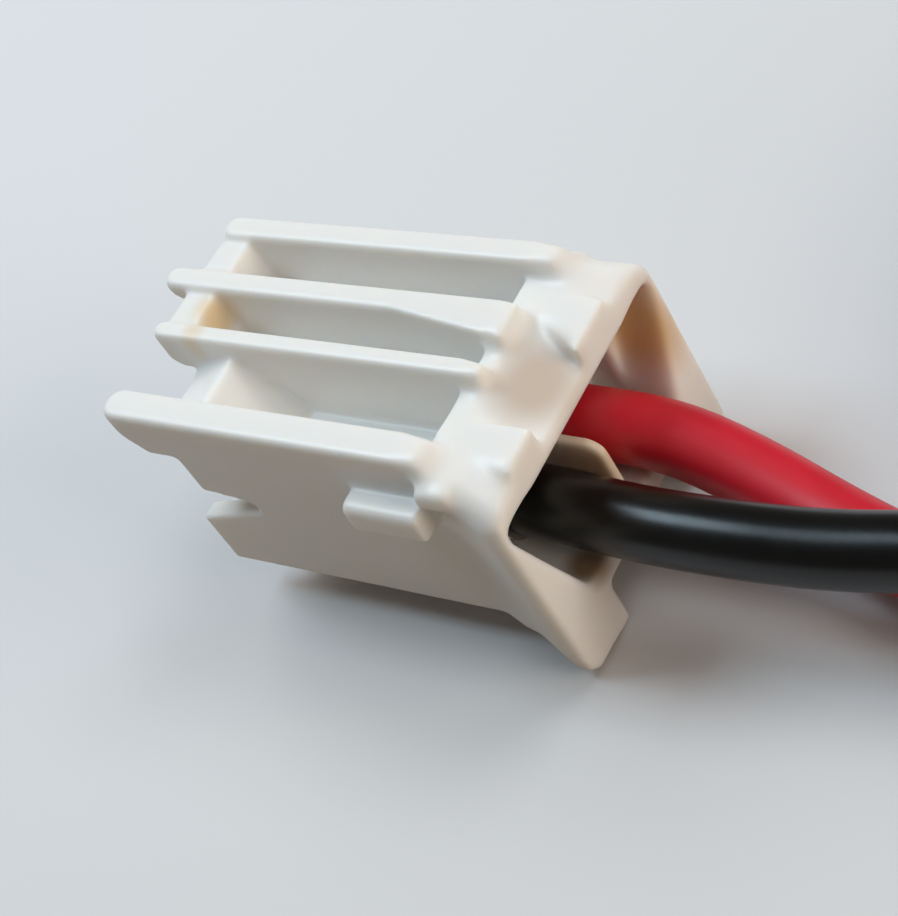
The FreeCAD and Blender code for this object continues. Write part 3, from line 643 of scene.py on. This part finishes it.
# Mixes each painted glow and painted shade over the nylon's own colour, one after another.
for centre, radii, strength, painted_light_tint in PAINTED_GLOWS_AND_SHADE:
    painted_light_mask = ball_mask(tree, centre, radii)
    scaled = add(tree, "ShaderNodeMath", operation="MULTIPLY")
    tree.links.new(painted_light_mask, scaled.inputs[0])
    scaled.inputs[1].default_value = strength
    mix = add(tree, "ShaderNodeMix", data_type="RGBA")
    tree.links.new(scaled.outputs["Value"], mix.inputs[0])
    if colour is None:
        mix.inputs[6].default_value = base
    else:
        tree.links.new(colour, mix.inputs[6])
    mix.inputs[7].default_value = painted_light_tint
    colour = mix.outputs[2]
tree.links.new(colour, shader.inputs["Base Color"])
shader.inputs["Roughness"].default_value = 0.38
shader.inputs["IOR"].default_value = 1.53
shader.inputs["Subsurface Weight"].default_value = 0.6
shader.inputs["Subsurface Radius"].default_value = (0.45 * MM, 0.36 * MM, 0.26 * MM)
shader.inputs["Subsurface Scale"].default_value = 1.0
grain = object_noise(tree, 2500.0, detail=3.0)
bump(tree, shader, grain.outputs["Fac"], 0.1, 0.02 * MM)
shell.data.materials.clear()
shell.data.materials.append(nylon)

# %% [markdown]
# ## Contacts
#
# The tin-plated contacts and the crimped strands sit inside the housing and are
# seen only through its openings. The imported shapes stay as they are, with a dull
# tin on them.

# %%
tin, tree, shader = material("tin plate")
shader.inputs["Base Color"].default_value = (0.66, 0.63, 0.58, 1)
shader.inputs["Metallic"].default_value = 1.0
shader.inputs["Roughness"].default_value = 0.38
for name in ("red_contact", "black_contact"):
    nodes[name].data.materials.clear()
    nodes[name].data.materials.append(tin)
for name in ("red_strands", "black_strands"):
    nodes[name].data.materials.clear()
    nodes[name].data.materials.append(tinned)

# %% [markdown]
# ## What rides on what
#
# Nothing moves, so every piece rides on the one body. The imported nodes that
# each made piece stands for are hidden.

# %%
for colour in ("red", "black"):
    cord = lead_objects[colour]
    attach(cord, "root")
    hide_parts(f"{colour}_lead", f"{colour}_lead_coil")
    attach(tips[colour], "root")
    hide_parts(f"{colour}_tinned_end")
    round(curve_length(cord), 4)
for piece in (tie_strap, tie_head):
    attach(piece, "root")
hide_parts("coil_tie")
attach(shell, "root")
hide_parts("housing")
print("cords:", sorted(lead_objects), "- other made pieces: tie_strap, tie_head, housing_skin")

# %% [markdown]
# ## Stage and light
#
# A plain pale floor and plain soft light. The photo's highlights on both leads show
# one bluish window high on the mating side, so that light is small enough to give a
# narrow highlight. The broad lights only fill: they are left out of reflections, or
# they would lie on the black lead as a grey film. One lamp could do both, but then
# either the highlight is too wide or the shadows are too hard. Far from the part the
# floor goes over to an even pale tone that only the camera and reflections see.

# %%
FLOOR_REACH = 2
FLOOR_SEEN = (0.66, 0.66, 0.67, 1)
FLOOR_BOUNCE = (0.34, 0.25, 0.17, 1)
FLOOR_FAR = (0.62, 0.62, 0.63, 1)
FAR_FROM, FAR_TO = 0.05, 0.13

floor_corners = [(-1, -1, 0), (1, -1, 0), (1, 1, 0), (-1, 1, 0)]
floor_points = FLOOR_REACH * np.array(floor_corners, float)
floor = mesh_object("floor", floor_points, [[0, 1, 2, 3]], smooth=False)
floor_look, tree, shader = material("floor")
seen = tree.nodes.new("ShaderNodeLightPath")
either = add(tree, "ShaderNodeMath", operation="MAXIMUM")
tree.links.new(seen.outputs["Is Camera Ray"], either.inputs[0])
tree.links.new(seen.outputs["Is Glossy Ray"], either.inputs[1])
any_seen = add(tree, "ShaderNodeMath", operation="MAXIMUM")
tree.links.new(either.outputs["Value"], any_seen.inputs[0])
tree.links.new(seen.outputs["Is Transmission Ray"], any_seen.inputs[1])
mix = add(tree, "ShaderNodeMix", data_type="RGBA")
tree.links.new(any_seen.outputs["Value"], mix.inputs[0])
mix.inputs[6].default_value = FLOOR_BOUNCE
mix.inputs[7].default_value = FLOOR_SEEN
tree.links.new(mix.outputs[2], shader.inputs["Base Color"])
shader.inputs["Roughness"].default_value = 0.9
shader.inputs["Specular IOR Level"].default_value = 0.0
place = tree.nodes.new("ShaderNodeTexCoord")
distance = add(tree, "ShaderNodeVectorMath", operation="LENGTH")
tree.links.new(place.outputs["Object"], distance.inputs[0])
far_off = add(tree, "ShaderNodeMapRange", interpolation_type="SMOOTHSTEP")
far_off.inputs["From Min"].default_value = FAR_FROM
far_off.inputs["From Max"].default_value = FAR_TO
tree.links.new(distance.outputs["Value"], far_off.inputs["Value"])
far_seen = add(tree, "ShaderNodeMath", operation="MULTIPLY")
tree.links.new(far_off.outputs["Result"], far_seen.inputs[0])
tree.links.new(any_seen.outputs["Value"], far_seen.inputs[1])
even = add(tree, "ShaderNodeEmission", Color=FLOOR_FAR, Strength=1.0)
blend = tree.nodes.new("ShaderNodeMixShader")
tree.links.new(far_seen.outputs["Value"], blend.inputs[0])
tree.links.new(shader.outputs["BSDF"], blend.inputs[1])
tree.links.new(even.outputs["Emission"], blend.inputs[2])
tree.links.new(blend.outputs["Shader"], tree.nodes["Material Output"].inputs["Surface"])
floor.data.materials.append(floor_look)


def soft_light(name, place, target, size, power, colour):
    """A square area light at a place, turned to a target. Places are in millimetres."""
    light = bpy.data.lights.new(name, "AREA")
    light.size = size * MM
    light.energy = power
    light.color = colour
    thing = bpy.data.objects.new(name, light)
    scene.collection.objects.link(thing)
    away = np.array(place, float) - np.array(target, float)
    back = away / np.linalg.norm(away)
    side = np.cross([0, 0, 1], back)
    side = side / np.linalg.norm(side)
    up = np.cross(back, side)
    rows = [[side[k], up[k], back[k], place[k] * MM] for k in range(3)]
    thing.matrix_world = Matrix(rows + [[0, 0, 0, 1]])
    return thing


soft_light("window", (-66, -6, 123), (8, 0, 4), 58, 0.095, (0.68, 0.87, 1.0))
broad_lights = [
    soft_light("key", (-85, 50, 100), (2, 0, 4), 90, 0.065, (1.0, 0.98, 0.95)),
    soft_light("top", (37, 66, 125), (8, 0, 4), 60, 0.05, (0.94, 0.97, 1.0)),
    soft_light("fill", (130, 10, 50), (2, 0, 4), 80, 0.11, (1.0, 0.88, 0.76)),
]
for light in broad_lights:
    light.visible_glossy = False

world = bpy.data.worlds.new("world")
scene.world = world
world.use_nodes = True
tree = world.node_tree
background = tree.nodes["Background"]
background.inputs["Color"].default_value = (1.0, 0.93, 0.86, 1)
background.inputs["Strength"].default_value = 0.15

scene.view_settings.view_transform = "Standard"
